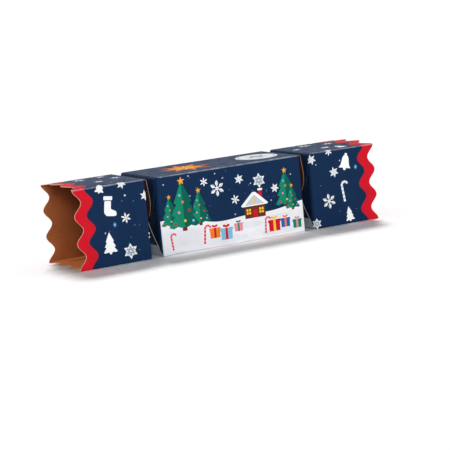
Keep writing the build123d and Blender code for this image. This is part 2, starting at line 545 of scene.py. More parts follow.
GROUND_LEVEL = 26.2 * MM  # of the snow above the underside
GROUND_SWELLS = (
    # height, length, phase
    (3.6 * MM, 150 * MM, -1.57),
    (1.3 * MM, 65 * MM, 0.36),
    (1.8 * MM, 400 * MM, 3.14),
)


def ground_line(x):
    """Height of the snowy ground above the middle of a side, at a place along the centre box."""
    swell = sum(rise * math.sin(FULL_TURN * x / reach + phase) for rise, reach, phase in GROUND_SWELLS)
    return GROUND_LEVEL - HALF + swell


def centre_panel(side):
    """Panel of the centre box. The front and the back have a snowy ground below a night sky."""
    start = panel_setback(side, -1) - CENTRE_END
    end = CENTRE_END - panel_setback(side, 1)
    scenic = side in SCENIC_SIDES
    up = UPRIGHT[side]

    def place(along, across):
        x = between(start, end, along)
        split = ground_line(x * up) if scenic else 0.0
        sideways, out = round_crease(panel_row(across, split))
        return Vector((x, sideways * up, out))

    grounds = {"top": ["navy"], "bottom": ["snow"]}.get(side, ["navy", "snow"])
    inks = [ink_material(ink, worn_and_highlit=True) for ink in grounds]
    bm = shaped_grid(2 * PANEL_COLUMNS, ALL_ROWS, place, lambda s, t: int(scenic and t < 0.5))
    return card_piece(f"centre_{side}_panel", bm, side, inks, inked_to=TAIL_START)


BAND_SHARE = 0.2  # of a tail panel's columns, in the red band
RED_SHARE = 7 / 8  # of the band's columns, in red, before the bare edge
BARE_EDGE = 0.26 * MM  # along a wavy end, where the ink is cut away
NECK_RIM = 5 * MM  # past a tail's start, where its rim is inked because its flaps go on from it


def tail_panel(end, side):
    """Panel of a tail: night blue with a red band along its wavy end, which is bare at the cut."""
    way = ENDS[end]
    start = TAIL_START + panel_setback(side, -way)

    def place(along, across):
        sideways, out = round_crease(panel_row(across))
        edge = TAIL_END - wave_drop(sideways)
        band = edge - card().band_width
        if along < 1 - BAND_SHARE:
            x = between(start, band, along / (1 - BAND_SHARE))
        else:
            share = (along - 1 + BAND_SHARE) / BAND_SHARE
            bare = max(0.0, share - RED_SHARE) / (1 - RED_SHARE)
            x = between(band, edge - BARE_EDGE, min(1.0, share / RED_SHARE)) + BARE_EDGE * bare
        bow = mouth_bow(x, sideways) if side == "top" else 0.0
        return Vector((way * x, sideways, out + bow))

    inks = [ink_material("navy", worn_and_highlit=True), ink_material("red", worn_and_highlit=True), ink_material("cut_edge")]
    starts = (1 - BAND_SHARE, 1 - BAND_SHARE * (1 - RED_SHARE))
    bm = shaped_grid(PANEL_COLUMNS, ALL_ROWS, place, lambda s, t: sum(s > start for start in starts))
    # Painted shade: a bottom panel's rim takes the darker cut edge colour
    edge = "card_edge_painted_shade" if side == "bottom" else "cut_card_edge"
    node = f"{end}_tail_{side}_panel"
    return card_piece(node, bm, side, inks, edge, inked_to=TAIL_START + NECK_RIM)


def neck_folds():
    """Each fold at a neck: end, body, word in the flaps' names, place along x and way out of the panel."""
    for end, way in ENDS.items():
        yield end, "centre", "inner", way * CENTRE_END, way
        yield end, f"{end}_tail", "outer", way * TAIL_START, -way


FLAP_COLUMNS = 40
FLAP_ROWS = 48
CURL_SHARE = 0.5  # of a neck flap's columns, in its curl
PALE_SHARE = 0.63  # of a lower neck flap's columns, in pale grey ink at its foot
UPPER_INSET = 0.5 * MM  # of an upper neck flap's cut from the side of the tube
UPPER_LEVEL = 15 * MM  # depth down to which it stays so
UPPER_TAPER = 19 * MM  # depth from there to the waist
UPPER_WAIST = 9.0 * MM  # how far the cut has gone in there
LOWER_INSET = 0.8 * MM  # of a lower neck flap's cut from the side of the tube
LOWER_DEPTH = 34 * MM  # up to the waist
LOWER_WAIST = 15.2 * MM  # how far the cut has gone in there
LOWER_BOW = 2.6 * MM  # of the cut between


def upper_inset(depth):
    """How far an upper neck flap's cut lies in from the side of the tube: nearly none, then a waist."""
    waist = max(0.0, depth - UPPER_LEVEL) / UPPER_TAPER
    return UPPER_INSET + UPPER_WAIST * waist**2


def lower_inset(depth):
    """How far a lower neck flap's cut lies in from the side of the tube: a bowed line up to the waist."""
    share = depth / LOWER_DEPTH
    return LOWER_INSET + LOWER_WAIST * share + 4 * LOWER_BOW * share * (1 - share)


def neck_flap(end, side, word, crease, way):
    """Upper or lower neck flap: it leaves the panel level, curls over and goes on to the valley crease."""
    upper = side == "top"
    curl_out = card().neck_curl_out if upper else card().lower_curl_out
    curl_in = card().neck_curl_in if upper else card().lower_curl_in
    inset = upper_inset if upper else lower_inset
    depth = HALF - VALLEY_OUT if upper else HALF - card().waist_clearance / 2

    def place(along, across):
        turned = min(along / CURL_SHARE, 1.0) * FULL_TURN / 4
        straight = max(0.0, along - CURL_SHARE) / (1 - CURL_SHARE)
        out = between(curl_out * math.sin(turned), NECK_REACH, straight)
        inwards = between(curl_in * (1 - math.cos(turned)), depth, straight)
        width = HALF - inset(inwards)
        return Vector((crease + way * out, between(-width, width, across), HALF - inwards))

    bm = shaped_grid(FLAP_COLUMNS, FLAP_ROWS, place, lambda s, t: int(not upper and s < PALE_SHARE))
    node = f"{end}_neck_{side}_{word}_flap"
    inks = ["navy"] if upper else ["navy", "shade"]
    # Painted shade: the lower flaps' rims take a greyer, darker cut edge colour, and the upper flaps that go
    # out towards +x take the darker cut edge colour; the other upper flaps take night blue ink.
    edge = "grey_card_edge_painted_shade"
    if upper:
        edge = "card_edge_painted_shade" if way > 0 else "navy"
    # The inside of a neck flap takes the darker kraft of painted shade.
    piece = card_piece(node, bm, side, [ink_material(ink) for ink in inks], edge, "neck_kraft_inside_painted_shade")
    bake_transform(piece)
    return piece


DUST_TURN = math.radians(95)  # how far a dust flap is folded in
PRINTED_TURN = 3 * MM  # how far the print of a panel goes on round the fold
PRINTED_SHARE = 0.15  # of a dust flap's columns, in that print
DUST_LEVEL = 9 * MM  # past the start of its fold, where a dust flap begins to taper
DUST_UPPER = (0.6 * MM, 1.0 * MM, 5 * MM)  # its insets: at the crease, more past the fold, at the tip
DUST_LOWER = (0.3 * MM, 6.0 * MM, 10 * MM)
CLEAR_START = 0.6  # turn at which the inset past the fold begins
CLEAR_TURN = 1.15  # and by how much more turn it is whole


def fold_point(distance, radius, turn):
    """How far out, how far in and how far turned a sheet is, at a distance past the start of a fold."""
    turned = min(distance / radius, turn)
    beyond = max(0.0, distance - radius * turn)
    out = radius * math.sin(turned) + beyond * math.cos(turn)
    inwards = radius * (1 - math.cos(turned)) + beyond * math.sin(turn)
    return out, inwards, turned


def dust_length(radius):
    """Length of a dust flap along its sheet, for the radius of its bend."""
    straight = HALF - radius * (1 - math.cos(DUST_TURN)) - card().dust_tip_gap
    return radius * DUST_TURN + straight / math.sin(DUST_TURN)


def dust_reach(distance, whole, bent, insets):
    """Height of a dust flap's upper or lower half: level at first, then tapered, and rounded at the tip."""
    at_crease, past_fold, at_tip = insets
    radius = card().dust_tip_radius
    taper = max(0.0, distance - DUST_LEVEL) / (whole - DUST_LEVEL)
    height = between(HALF - at_crease - past_fold * bent, HALF - at_tip, taper)
    past = max(0.0, distance - whole + radius)
    return height - radius + math.sqrt(max(0.0, radius**2 - past**2))


def dust_flap(end, side, body, crease, way):
    """Dust flap, folded in from the front or the back panel, whose print goes a little round the fold."""
    radius, setback = dust_fold(side, way)
    whole = dust_length(radius)
    start = crease - way * setback
    up = UPRIGHT[side]
    scenic = body == "centre"

    def place(along, across):
        if along < PRINTED_SHARE:
            distance = along / PRINTED_SHARE * PRINTED_TURN
        else:
            distance = between(PRINTED_TURN, whole, (along - PRINTED_SHARE) / (1 - PRINTED_SHARE))
        out, inwards, _ = fold_point(distance, radius, DUST_TURN)
        bent = min(1.0, max(0.0, distance / radius - CLEAR_START) / CLEAR_TURN)
        high = dust_reach(distance, whole, bent, DUST_UPPER)
        low = dust_reach(distance, whole, bent, DUST_LOWER)
        split = ground_line((start + way * distance) * up) if scenic else 0.0
        if across < 0.5:
            height = between(-low, split, across / 0.5)
        else:
            height = between(split, high, (across - 0.5) / 0.5)
        return Vector((start + way * out, up * height, HALF - inwards))

    def snowy(along, across):
        return int(scenic and along < PRINTED_SHARE and across < 0.5)

    inks = [ink_material("navy")]
    if scenic:
        inks.append(ink_material("snow"))
    bm = shaped_grid(FLAP_COLUMNS, FLAP_ROWS, place, snowy)
    node = dust_node(end, side, body)
    piece = card_piece(node, bm, side, inks, "navy")
    blend_dust(piece, side, body, node, start, way, radius)
    return piece


def dust_node(end, side, body):
    """Name of a dust flap's node, which is also its body."""
    return f"{end}_{'centre' if body == 'centre' else 'tail'}_{side}_dust_flap"


def blend_dust(piece, side, body, flap, start, way, radius):
    """Bakes the place of a piece that crosses a dust flap's fold into its mesh."""
    panel = side_place(side) @ Vector((start, 0, HALF))
    bend = side_place(side) @ Vector((start + way * radius, 0, HALF - radius))
    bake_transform(piece)


GLUE_SLANT = 5 * MM
GLUE_ROWS = 6


def glue_flap(node):
    """Glue flap: a strip of card with slanted ends, on the inside of the bottom panel."""
    low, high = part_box(node)

    def place(along, across):
        shift = GLUE_SLANT * (1 - across)
        x = between(low.x + shift, high.x - shift, along)
        y = between(low.y, high.y, across)
        return Vector((x, -y, AXIS_HEIGHT - low.z))

    bm = shaped_grid(FLAP_COLUMNS, GLUE_ROWS, place, lambda s, t: 0)
    piece = card_piece(node, bm, "bottom", [board_material("kraft_inside")], "kraft_inside")
    return piece


# Flat print: x runs along the cracker and y up a side from its middle line, in units of a motif's size


ROUND_STEPS = 4  # of a rounded corner


class Print:
    """Flat motifs of one side, gathered in a bmesh with one material slot for each ink."""

    def __init__(self):
        self.bm = bmesh.new()
        self.inks = []

    def ink_faces(self, faces, ink):
        """Gives faces an ink, and turns them up."""
        if ink not in self.inks:
            self.inks.append(ink)
        for face in faces:
            face.material_index = self.inks.index(ink)
            face.normal_update()
            if face.normal.z < 0:
                face.normal_flip()

    def outline(self, points, ink, place, rounding=0.0):
        """One flat shape from its corners, which may be rounded."""
        verts = [self.bm.verts.new(place @ Vector((x, y, 0))) for x, y in points]
        face = self.bm.faces.new(verts)
        self.ink_faces([face], ink)
        if rounding:
            offset = rounding * place.col[1].to_3d().length
            shape = {"segments": ROUND_STEPS, "profile": 0.5, "affect": "VERTICES", "material": -1}
            bmesh.ops.bevel(self.bm, geom=verts, offset=offset, **shape)

    def disc(self, ink, place, size=1.0, x=0.0, y=0.0, stretch=1.0, segments=20):
        """Disc of a size, or an ellipse where it is stretched along x."""
        spot = place @ Matrix.Translation((x, y, 0)) @ Matrix.Diagonal((size * stretch, size, 1, 1))
        made = bmesh.ops.create_circle(self.bm, cap_ends=True, segments=segments, radius=0.5, matrix=spot)
        self.ink_faces({face for vert in made["verts"] for face in vert.link_faces}, ink)

    def block(self, left, low, right, high, ink, place, rounding=0.0):
        """Rectangle from its sides."""
        self.outline([(left, low), (right, low), (right, high), (left, high)], ink, place, rounding)


def placed(x, y, size, turn=0.0, level=1.0):
    """Place of a motif on a side: its foot or middle and its size in mm, its turn and its layer of ink."""
    spot = Matrix.Translation((x * MM, y * MM, card().print_rise * level))
    return shrunk(spot @ Matrix.Rotation(math.radians(turn), 4, "Z"), size * MM)


def raised(place, levels=1.0):
    """The same place on a higher layer of ink."""
    return Matrix.Translation((0, 0, card().print_rise * levels)) @ place


def shrunk(place, share):
    """The same place at a share of its size."""
    return place @ Matrix.Diagonal((share, share, 1, 1))


def spokes(place, arms=ARMS):
    """Place of each arm of a flake or star."""
    return [place @ Matrix.Rotation(FULL_TURN * (arm / arms + 0.25), 4, "Z") for arm in range(arms)]


def folded_star(sheet, place, bright, shaded, arms=ARMS, notch=0.25):
    """Pointed star whose arms look folded along the middle."""
    half_step = FULL_TURN / arms / 2
    corner = (notch * math.cos(half_step), notch * math.sin(half_step))
    for spoke in spokes(place, arms):
        sheet.outline([(0, 0), (0.5, 0), corner], bright, spoke)
        sheet.outline([(0, 0), (0.5, 0), (corner[0], -corner[1])], shaded, spoke)


LEAF_STEPS = 6


def leaf(start, end, half):
    """Corners of a leaf along x, pointed at both ends."""
    shares = [step / LEAF_STEPS for step in range(LEAF_STEPS + 1)]
    upper = [(between(start, end, share), half * math.sin(math.pi * share)) for share in shares]
    return upper + [(x, -y) for x, y in reversed(upper[1:-1])]


def petal_flake(sheet, place):
    """Six slim petals that meet in a small middle."""
    sheet.disc("white", raised(place, 0.5), 0.15, segments=12)
    for spoke in spokes(place):
        sheet.outline(leaf(0.04, 0.5, 0.08), "white", spoke)


def branch_flake(sheet, place):
    """Broad leaf on each arm, shaded along one side, and a small star in the middle."""
    folded_star(sheet, shrunk(raised(place), 0.4), "white", "shade")
    for spoke in spokes(place):
        sheet.outline(leaf(0.13, 0.5, 0.105), "white", spoke)
        sheet.outline(leaf(0.15, 0.48, 0.105)[LEAF_STEPS:] + [(0.15, 0)], "shade", raised(spoke, 0.5))


def ornate_flake(sheet, place):
    """Six broad kites with a white tip and a grey heart, and a small leaf between each two."""
    for spoke in spokes(place):
        sheet.outline([(0.03, 0), (0.29, 0.13), (0.5, 0), (0.29, -0.13)], "shade", spoke)
        for half in (0.1, -0.1):
            sheet.outline([(0.27, half), (0.5, 0), (0.34, 0)], "white", raised(spoke))
        sheet.outline(leaf(0.12, 0.3, 0.045), "flake_grey", raised(spoke))
        gap = spoke @ Matrix.Rotation(FULL_TURN / ARMS / 2, 4, "Z")
        sheet.outline(leaf(0.16, 0.34, 0.03), "white", raised(gap, 0.5))
    sheet.disc("white", raised(place, 1.5), 0.12, segments=12)


def far_light(sheet, place):
    """Small blurred light: a pale core in a haze."""
    for ring, ink in enumerate(("haze", "haze_mid", "haze_core")):
        sheet.disc(ink, raised(place, ring / 2), 1 - 0.3 * ring, stretch=0.75)


def snow_dot(sheet, place, ink):
    """Small dot of falling snow."""
    sheet.disc(ink, place, segments=10)


FIR_TIERS = ((0.1, 0.58, 0.34), (0.34, 0.8, 0.27), (0.58, 1.0, 0.2))  # hem, top and half width of each
FIR_SCALLOPS = ((1, 0), (0.72, -0.035), (0.42, 0), (0.18, -0.035))  # share of the width, drop from the hem


def fir(sheet, place, lit, shaded, trunk):
    """Fir tree one unit tall, in three tiers with scalloped hems."""
    sheet.block(-0.05, 0, 0.05, 0.16, trunk, raised(place, -0.5))
    for tier, (hem, top, width) in enumerate(FIR_TIERS):
        for way, ink in ((-1, lit), (1, shaded)):
            scallops = [(way * width * share, hem + drop) for share, drop in FIR_SCALLOPS]
            sheet.outline([(0, top), *scallops, (0, hem - 0.01)], ink, raised(place, tier))


BAUBLES = (
    # place on a fir one unit tall, ink
    (-0.2, 0.16, "red"),
    (0.02, 0.2, "gold"),
    (0.2, 0.18, "sky_blue"),
    (-0.1, 0.38, "pink"),
    (0.13, 0.4, "red"),
    (0.0, 0.58, "orange"),
    (-0.06, 0.72, "sky_blue"),
)


def dressed_fir(sheet, place):
    """Fir with baubles and a gold star on top."""
    fir(sheet, place, "fir", "fir_dark", "bark")
    for x, y, ink in BAUBLES:
        sheet.disc(ink, raised(place, 3), 0.055, x, y, segments=12)
    top = raised(place, 3) @ Matrix.Translation((0, 1.0, 0))
    folded_star(sheet, shrunk(top, 0.17), "gold", "orange", 5, 0.22)


def bell(sheet, place):
    """Bell one unit tall."""
    sheet.disc("white", raised(place, -0.5), 0.17, 0, 0.95)
    sheet.disc("white", raised(place, -0.5), 0.2, 0, 0.08)
    side = [(0.44, 0.12), (0.32, 0.26), (0.26, 0.5), (0.22, 0.74), (0.12, 0.9)]
    sheet.outline([*side, *((-x, y) for x, y in reversed(side))], "white", place, 0.05)


def stocking(sheet, place):
    """Stocking one unit tall, with a separate cuff."""
    leg = [(-0.2, 0.16), (-0.2, 0.76), (0.16, 0.76), (0.16, 0.36)]
    foot = [(0.46, 0.24), (0.5, 0.06), (0.4, 0), (-0.06, 0)]
    sheet.outline(leg + foot, "white", place, 0.05)
    sheet.block(-0.26, 0.8, 0.22, 1.0, "white", place, 0.04)


CANE_STEM = 8  # stripes up the stem
CANE_HOOK = 8  # and round the hook
CANE_HALF = 0.055  # half of its width
HOOK_RADIUS = 0.16
HOOK_TURN = FULL_TURN * 0.48


def cane(sheet, place, *inks):
    """Candy cane one unit tall: a striped stem that turns over into a hook."""
    bm = sheet.bm
    rise = (1 - HOOK_RADIUS - CANE_HALF) / CANE_STEM
    ends = [bm.verts.new(place @ Vector((x, 0, 0))) for x in (-CANE_HALF, CANE_HALF)]
    edges = [bm.edges.new(ends)]
    faces = []
    for _ in range(CANE_STEM):
        grown = bmesh.ops.extrude_edge_only(bm, edges=edges)["geom"]
        ends = [part for part in grown if isinstance(part, bmesh.types.BMVert)]
        bmesh.ops.translate(bm, verts=ends, vec=place.to_3x3() @ Vector((0, rise, 0)))
        edges = [part for part in grown if isinstance(part, bmesh.types.BMEdge)]
        edges = [edge for edge in edges if set(edge.verts) == set(ends)]
        faces += [part for part in grown if isinstance(part, bmesh.types.BMFace)]
    before = set(bm.faces)
    middle = place @ Vector((HOOK_RADIUS, CANE_STEM * rise, 0))
    bmesh.ops.spin(
        bm, geom=[*ends, *edges], cent=middle, axis=(0, 0, 1), angle=-HOOK_TURN, steps=CANE_HOOK
    )
    turned = sorted(set(bm.faces) - before, key=lambda face: face.index)
    faces += sorted(turned, key=lambda face: (place.inverted() @ face.calc_center_median()).x)
    for stripe, face in enumerate(faces):
        sheet.ink_faces([face], inks[stripe % len(inks)])


def bow(sheet, place, ink):
    """Two loops and a knot, one unit across."""
    for way in (-1, 1):
        loop = place @ Matrix.Rotation(math.radians(22 * way), 4, "Z")
        sheet.disc(ink, loop, 0.3, 0.26 * way, 0, 1.5)
    sheet.disc(ink, raised(place, 0.5), 0.26)


def gift(sheet, place, paper, ribbon):
    """Wrapped box one unit wide, with a lid, a ribbon and a bow."""
    sheet.outline([(-0.46, 0), (0.46, 0), (0.48, 0.66), (-0.48, 0.66)], paper, place)
    sheet.block(-0.53, 0.66, 0.53, 0.86, paper, place)
    sheet.block(-0.1, 0, 0.1, 0.86, ribbon, raised(place))
    bow(sheet, shrunk(raised(place) @ Matrix.Translation((0, 0.97, 0)), 0.62), ribbon)


def cottage(sheet, place):
    """Cottage one unit wide with lit windows and a snowy roof."""
    sheet.block(0.2, 0.6, 0.33, 1.0, "red", raised(place, -0.5))
    sheet.block(0.17, 0.95, 0.36, 1.02, "white", place)
    sheet.block(-0.42, 0, 0.42, 0.52, "bark", place)
    roof = [(-0.56, 0.47), (-0.5, 0.43), (0.5, 0.43), (0.56, 0.47), (0.06, 0.92), (-0.06, 0.92)]
    sheet.outline(roof, "white", raised(place), 0.03)
    sheet.outline([(-0.4, 0.47), (0.4, 0.47), (0.0, 0.83)], "shade", raised(place, 2), 0.03)
    sheet.disc("gold", raised(place, 3), 0.13, 0, 0.6)
    sheet.block(-0.09, 0, 0.09, 0.3, "red", raised(place), 0.03)
    for x in (-0.26, 0.26):
        sheet.block(x - 0.09, 0.14, x + 0.09, 0.34, "gold", raised(place), 0.015)
        sheet.block(x - 0.012, 0.14, x + 0.012, 0.34, "bark", raised(place, 2))
        sheet.block(x - 0.09, 0.228, x + 0.09, 0.252, "bark", raised(place, 2))


def drift(sheet, place):
    """Soft shadow of a snow drift, wide and low."""
    sheet.disc("drift", place, 0.16, stretch=6.2, segments=40)


def double_star(sheet, place):
    """Gold star of eight arms on an orange one."""
    folded_star(sheet, place, "orange", "amber", 8, 0.22)
    upper = shrunk(raised(place), 0.6) @ Matrix.Rotation(FULL_TURN / 16, 4, "Z")
    folded_star(sheet, upper, "gold", "orange", 8)


def roundel(sheet, place):
    """White disc with a grey ring and a grey star."""
    for layer, (ink, size) in enumerate((("white", 1.0), ("flake_grey", 0.88), ("white", 0.84))):
        sheet.disc(ink, raised(place, layer), size, segments=48)
    folded_star(sheet, shrunk(raised(place, 3), 0.62), "shade", "flake_grey")


MOTIFS = {
    # what draws it, its inks
    "star": (folded_star, "white", "shade"),
    "petal": (petal_flake,),
    "branch": (branch_flake,),
    "ornate": (ornate_flake,),
    "speck": (snow_dot, "shade"),
    "mote": (snow_dot, "mote"),
    "light": (far_light,),
    "bell": (bell,),
    "stocking": (stocking,),
    "fir": (fir, "white", "white", "white"),
    "cane": (cane, "white", "shade"),
}


INK_DEPTH = 0.2 * MM  # how far a print reaches into the card
MERGE_DISTANCE = 0.001 * MM
WRAP_CUTS = 7  # across each edge of a print that is bent


def wrap(bm, axis, start, way, radius, turn):
    """Bends flat motifs round a fold across x or y (axis 0 or 1), from where it starts and one way."""
    bmesh.ops.triangulate(bm, faces=[face for face in bm.faces if len(face.verts) > 4])
    bmesh.ops.subdivide_edges(bm, edges=bm.edges[:], cuts=WRAP_CUTS, use_grid_fill=True)
    for vert in bm.verts:
        distance = way * (vert.co[axis] - start)
        if distance > 0:
            lift = vert.co.z
            out, inwards, turned = fold_point(distance, radius, turn)
            vert.co[axis] = start + way * (out + lift * math.sin(turned))
            vert.co.z = lift * math.cos(turned) - inwards
            if axis == 1:
                vert.co.y += mouth_bow(vert.co.x, HALF - inwards)


def print_piece(name, side, motifs, fold=None):
    """Thin closed print on a side, of motifs given by what draws them, their place and their inks."""
    sheet = Print()
    for draw, *terms in motifs:
        draw(sheet, *terms)
    bm = sheet.bm
    bmesh.ops.remove_doubles(bm, verts=bm.verts[:], dist=MERGE_DISTANCE)
    if fold:
        wrap(bm, *fold)
    if side == "top":
        for vert in bm.verts:
            vert.co.z += mouth_bow(vert.co.x, vert.co.y)
    bm.normal_update()
    bmesh.ops.solidify(bm, geom=bm.faces[:], thickness=INK_DEPTH)
    bmesh.ops.translate(bm, verts=bm.verts[:], vec=(0, 0, HALF))
    if UPRIGHT[side] < 0:
        bmesh.ops.rotate(bm, verts=bm.verts[:], matrix=Matrix.Rotation(FULL_TURN / 2, 3, "Z"))
    piece = make_object(name, bm, [ink_material(ink) for ink in sheet.inks], side)
    return piece


def laid_out(rows, level=1.0):
    """Motifs of a layout on a layer of ink: what draws each, its place and its inks."""
    motifs = []
    for kind, *spot in rows:
        draw, *inks = MOTIFS[kind]
        motifs.append((draw, placed(*spot, level=level), *inks))
    return motifs


# Layouts in mm and degrees, as each side is seen upright from outside: kind, x along it, y up from its middle
# line, size, and turn where there is one

LEFT_FLAKES = (
    ("petal", -104.3, 4.5, 9.6, 8),
    ("ornate", -102.9, -24.8, 14.0),
    ("light", -115.2, 0.1, 5.6),
    ("speck", -103.1, 23.8, 1.9),
    ("mote", -106.4, 19.5, 1.0),
    ("mote", -95.7, 17.9, 1.1),
    ("mote", -96.6, -2.8, 1.2),
    ("mote", -92.2, -3.5, 0.9),
    ("mote", -94.6, -24.9, 1.0),
    ("mote", -120.4, -4.7, 0.9),
    ("speck", -124.8, -5.8, 1.3),
    ("mote", -101.1, -13.0, 0.9),
)
LEFT_MOTIFS = (
    ("stocking", -121.0, 8.5, 17.0, -8),
    ("fir", -121.5, -24.5, 19.0),
)
RIGHT_FLAKES = (
    ("star", 107.1, 14.4, 10.2, 10),
    ("branch", 99.6, -11.4, 14.2, 6),
    ("light", 130.7, 16.1, 6.0),
    ("speck", 114.2, 24.2, 1.4),
    ("speck", 88.7, 23.6, 1.2),
    ("mote", 127.8, -22.3, 1.0),
    ("mote", 110.0, -22.0, 1.0),
    ("mote", 92.0, 4.0, 1.0),
)
RIGHT_MOTIFS = (
    ("bell", 118.5, 15.0, 15.0, -12),
    ("cane", 116.5, -14.0, 19.0, 8),
    ("fir", 121.0, -33.0, 14.0, 6),
)
LEFT_FOLD = (("star", -84.4, 21.1, 9.6, 4), ("petal", -80.9, -13.9, 9.0))
RIGHT_FOLD = (("star", 84.3, 28.8, 10.0, 14), ("ornate", 84.8, -30.2, 10.0))
LEFT_CREASE = (("star", -105.7, 34.4, 9.6, 12), ("fir", -127.0, 29.0, 12.5, -14))
RIGHT_CREASE = (("petal", 103.0, 34.0, 8.0),)
LEFT_TOP = (
    ("star", -113.8, -7.4, 10.0, 10),
    ("petal", -92.9, 4.8, 9.6),
    ("branch", -121.0, 20.0, 12.0),
    ("star", -98.0, 26.0, 9.0, 20),
    ("speck", -104.0, 12.0, 1.4),
    ("speck", -108.0, -20.0, 1.2),
    ("speck", -90.0, -14.0, 1.2),
)
RIGHT_TOP = (
    ("branch", 110.4, 20.4, 13.0),
    ("star", 112.9, -13.9, 10.5, 6),
    ("petal", 128.2, 6.4, 10.0),
    ("fir", 124.1, -29.0, 14.0, 10),
    ("star", 92.5, 4.0, 9.0, 16),
    ("speck", 98.0, -20.0, 1.4),
    ("speck", 101.0, 24.0, 1.2),
)
CENTRE_BOTTOM = (("light", -48, 12, 12), ("light", -16, -14, 9), ("light", 18, 12, 11), ("light", 46, -12, 9))

TOP_STAR = (-27, -1, 50)
TOP_ROUNDEL = (46.7, -1, 39)
COTTAGE = (22, -14.5, 25)
SCENE_FIRS = (
    # x, y, height, layer of ink
    (-33, -13.0, 31, 1),
    (-62, -11.0, 27, 1),
    (55, -9.5, 33, 1),
    (-49, -15.5, 44, 5),
    (61.0, -13.0, 22, 5),
)
SCENE_FLAKES = (
    ("branch", -14.0, 17.0, 14.5),
    ("star", 8.5, 22.0, 9.5, 8),
    ("petal", 3.0, 4.5, 9.0, 12),
    ("ornate", 28.5, 18.0, 13.5),
    ("star", 44.0, 9.0, 9.0, 20),
    ("petal", -26.5, 24.5, 8.0),
)
SCENE_GIFTS = (
    # x, y and width, paper and ribbon
    ((-20.0, -26.5, 10.5), ("orange", "red")),
    ((-8.5, -29.5, 12.0), ("sky_blue", "red")),
    ((4.0, -24.0, 8.5), ("pink", "fir")),
    ((40.5, -29.5, 12.0), ("red", "gold")),
    ((52.0, -27.5, 9.5), ("blue", "orange")),
    ((64.0, -30.0, 9.0), ("fir", "pink")),
)
SCENE_CANES = ((-31.0, -30.0, 17, -6), (-62.0, -31.0, 15, 6), (31.0, -30.0, 15, -4))
SCENE_DRIFTS = (
    (-47, -17, 42),
    (-10, -29.8, 46),
    (12, -20.0, 36),
    (47, -29.8, 40),
    (-50, -30.5, 32),
    (45, -16.5, 26),
)
UNDER_LEVEL = 0.5  # layer of ink for what lies under the rest
FOLD_LEVEL = 1.5
CREASE_LEVEL = 2.5
GIFT_LEVEL = 4


# Operators


class CRACKER_OT_panels(bpy.types.Operator):
    """Make the card panels of the centre box and the tails"""

    bl_idname = "cracker.panels"
    bl_label = "Card panels"

    def execute(self, context):
        for side in SIDE_TURN:
            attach(centre_panel(side), "centre")
            for end in ENDS:
                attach(tail_panel(end, side), f"{end}_tail")
        return {"FINISHED"}


class CRACKER_OT_neck_flaps(bpy.types.Operator):
    """Make the upper and lower flaps that pinch the necks"""

    bl_idname = "cracker.neck_flaps"
    bl_label = "Neck flaps"

    def execute(self, context):
        for end, body, word, crease, way in neck_folds():
            for side in LEVEL_SIDES:
                neck_flap(end, side, word, crease, way)
        return {"FINISHED"}


class CRACKER_OT_dust_flaps(bpy.types.Operator):
    """Make the dust flaps that close the sides of the necks"""

    bl_idname = "cracker.dust_flaps"
    bl_label = "Dust flaps"

    def execute(self, context):
        for end, body, _, crease, way in neck_folds():
            for side in SCENIC_SIDES:
                dust_flap(end, side, body, crease, way)
        return {"FINISHED"}


class CRACKER_OT_glue_flaps(bpy.types.Operator):
    """Make the glue flaps inside the bottom panels"""

    bl_idname = "cracker.glue_flaps"
    bl_label = "Glue flaps"

    def execute(self, context):
        for body in ("centre", "left_tail", "right_tail"):
            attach(glue_flap(f"{body}_glue_flap"), body)
        return {"FINISHED"}


def tail_sides():
    """Each tail's name, side and whether it is at the left of that side as seen from outside."""
    for end in ENDS:
        for side in SIDE_TURN:
            yield end, side, (end == "left") == (UPRIGHT[side] > 0)


class CRACKER_OT_snowflakes(bpy.types.Operator):
    """Print the snowflakes and specks of the tails"""

    bl_idname = "cracker.snowflakes"
    bl_label = "Snowflakes"

    def execute(self, context):
        for end, side, at_left in tail_sides():
            level = side in LEVEL_SIDES
            if at_left:
                flakes = LEFT_TOP if level else LEFT_FLAKES
            else:
                flakes = RIGHT_TOP if level else RIGHT_FLAKES
            body = f"{end}_tail"
            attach(print_piece(f"{body}_{side}_flakes", side, laid_out(flakes)), body)
            if not level:
                self.folded_flakes(end, body, side, at_left)
        return {"FINISHED"}

    def folded_flakes(self, end, body, side, at_left):
        """Flakes that go round the fold of a dust flap, and over a long crease."""
        way = 1 if at_left else -1
        radius, setback = dust_fold("front", way)
        start = -way * (TAIL_START + setback)
        flakes = laid_out(LEFT_FOLD if at_left else RIGHT_FOLD, FOLD_LEVEL)
        piece = print_piece(f"{body}_{side}_fold_flakes", side, flakes, (0, start, way, radius, DUST_TURN))
        seen = UPRIGHT[side]
        blend_dust(piece, side, body, dust_node(end, side, body), start * seen, way * seen, radius)
        flakes = laid_out(LEFT_CREASE if at_left else RIGHT_CREASE, CREASE_LEVEL)
        crease = (1, HALF - card().crease_radius, 1, card().crease_radius, FULL_TURN / 4)
        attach(print_piece(f"{body}_{side}_crease_flakes", side, flakes, crease), body)


class CRACKER_OT_pale_motifs(bpy.types.Operator):
    """Print the white shapes on the fronts and backs of the tails"""

    bl_idname = "cracker.pale_motifs"
    bl_label = "White shapes"

    def execute(self, context):
        for end, side, at_left in tail_sides():
            if side in SCENIC_SIDES:
                motifs = laid_out(LEFT_MOTIFS if at_left else RIGHT_MOTIFS)
                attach(print_piece(f"{end}_tail_{side}_white_shapes", side, motifs), f"{end}_tail")
        return {"FINISHED"}


# Falling snow, in mm
SKY_DOTS = 46
SKY_SEED = 11
SKY_REACH = 66  # to either side of the middle
SKY_TOP = 32
SKY_CLEAR = 2  # round the flakes and above the ground
DOT_SIZES = (0.7, 0.9, 1.3)


